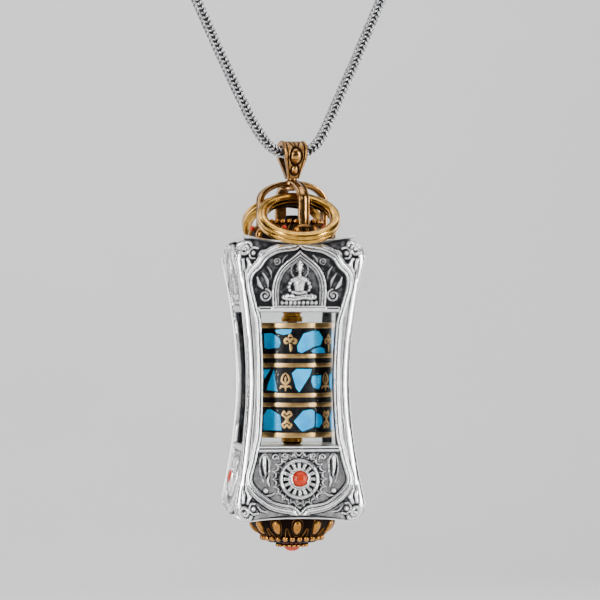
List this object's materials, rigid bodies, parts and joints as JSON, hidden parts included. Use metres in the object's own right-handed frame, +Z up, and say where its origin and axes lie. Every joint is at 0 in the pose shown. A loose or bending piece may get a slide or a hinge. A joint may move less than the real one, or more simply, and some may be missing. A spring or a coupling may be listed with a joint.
{
  "type": "prayer wheel pendant",
  "caption": "Four-sided silver case pendant with a spinning inlaid drum behind glass, lotus domes, a crown, two loose rings and a bail on a neck chain.",
  "frame": {"origin": "middle of the neck chain, where the chain carries the bail", "axes": "+Z up, the case's front towards -Y, +X to the viewer's right; the crown, bail and chain stand turned 12.4 degrees about +Z"},
  "size_m": [0.0439, 0.0289, 0.1101],
  "materials": {
    "case_silver": "oxidised cast silver, bright on its ridges and near black in its recesses",
    "chain_silver": "polished silver wire with dark gaps",
    "aged_bronze": "aged rose-gold plate, worn on its edges",
    "aged_gold": "aged gold plate with black recesses",
    "ring_brass": "polished yellow brass",
    "gilt_brass": "gilt brass",
    "coral": "polished orange-red coral",
    "resin": "black resin inlaid with turquoise chips and gilt ornament",
    "paper": "rolled paper",
    "steel": "turned steel",
    "glass": "clear drawn glass"
  },
  "bodies": {
    "neck_chain": {"chain": "chain_silver", "chain_end_left": "chain_silver", "chain_end_right": "chain_silver", "jump_ring_left": "chain_silver", "jump_ring_right": "chain_silver"},
    "bail": {"bail": "aged_bronze", "bail_washer": "aged_bronze"},
    "case": {"crown": "aged_bronze", "top_dome": "aged_gold", "top_bead_ring": "aged_gold", "dome_coral_1": "coral", "dome_coral_2": "coral", "dome_coral_3": "coral", "dome_coral_4": "coral", "dome_coral_5": "coral", "dome_coral_6": "coral", "top_plate": "case_silver", "bottom_plate": "case_silver", "face_front": "case_silver", "face_right": "case_silver", "face_back": "case_silver", "face_left": "case_silver", "wheel_setting_front": "case_silver", "wheel_setting_right": "case_silver", "wheel_setting_back": "case_silver", "wheel_setting_left": "case_silver", "wheel_coral_front": "coral", "wheel_coral_right": "coral", "wheel_coral_back": "coral", "wheel_coral_left": "coral", "glass_tube": "glass", "upper_deck": "case_silver", "lower_deck": "case_silver", "top_bush": "gilt_brass", "bottom_bush": "gilt_brass"},
    "wheel": {"axle": "steel", "drum_cap_top": "gilt_brass", "drum_cap_bottom": "gilt_brass", "drum_core": "gilt_brass", "prayer_scroll": "paper", "inlay_shell": "resin", "drum_wire_1": "gilt_brass", "drum_wire_2": "gilt_brass", "drum_wire_3": "gilt_brass", "drum_wire_4": "gilt_brass", "knob_dome": "aged_gold", "knob_bead_ring": "aged_gold", "finial_ring": "aged_gold", "finial_coral": "coral"},
    "front_ring": {"front_ring": "ring_brass"},
    "back_ring": {"back_ring": "ring_brass"}
  },
  "joints": [
    {"name": "bail_swing", "type": "hinge", "parent": "neck_chain", "child": "bail", "pos_m": [0, 0, 0], "axis": [0.9767, 0.2147, 0], "range_deg": [-90, 90]},
    {"name": "case_swivel", "type": "hinge", "parent": "bail", "child": "case", "pos_m": [0, 0, -0.0053], "axis": [0, 0, 1], "continuous": true},
    {"name": "wheel_spin", "type": "hinge", "parent": "case", "child": "wheel", "pos_m": [0, 0, -0.0414], "axis": [0, 0, 1], "continuous": true},
    {"name": "front_ring_lift", "type": "hinge", "parent": "case", "child": "front_ring", "pos_m": [0, -0.0032, -0.0088], "axis": [-1, 0, 0], "range_deg": [0, 70]},
    {"name": "back_ring_lift", "type": "hinge", "parent": "case", "child": "back_ring", "pos_m": [0, 0.0033, -0.0093], "axis": [1, 0, 0], "range_deg": [0, 70]}
  ]
}
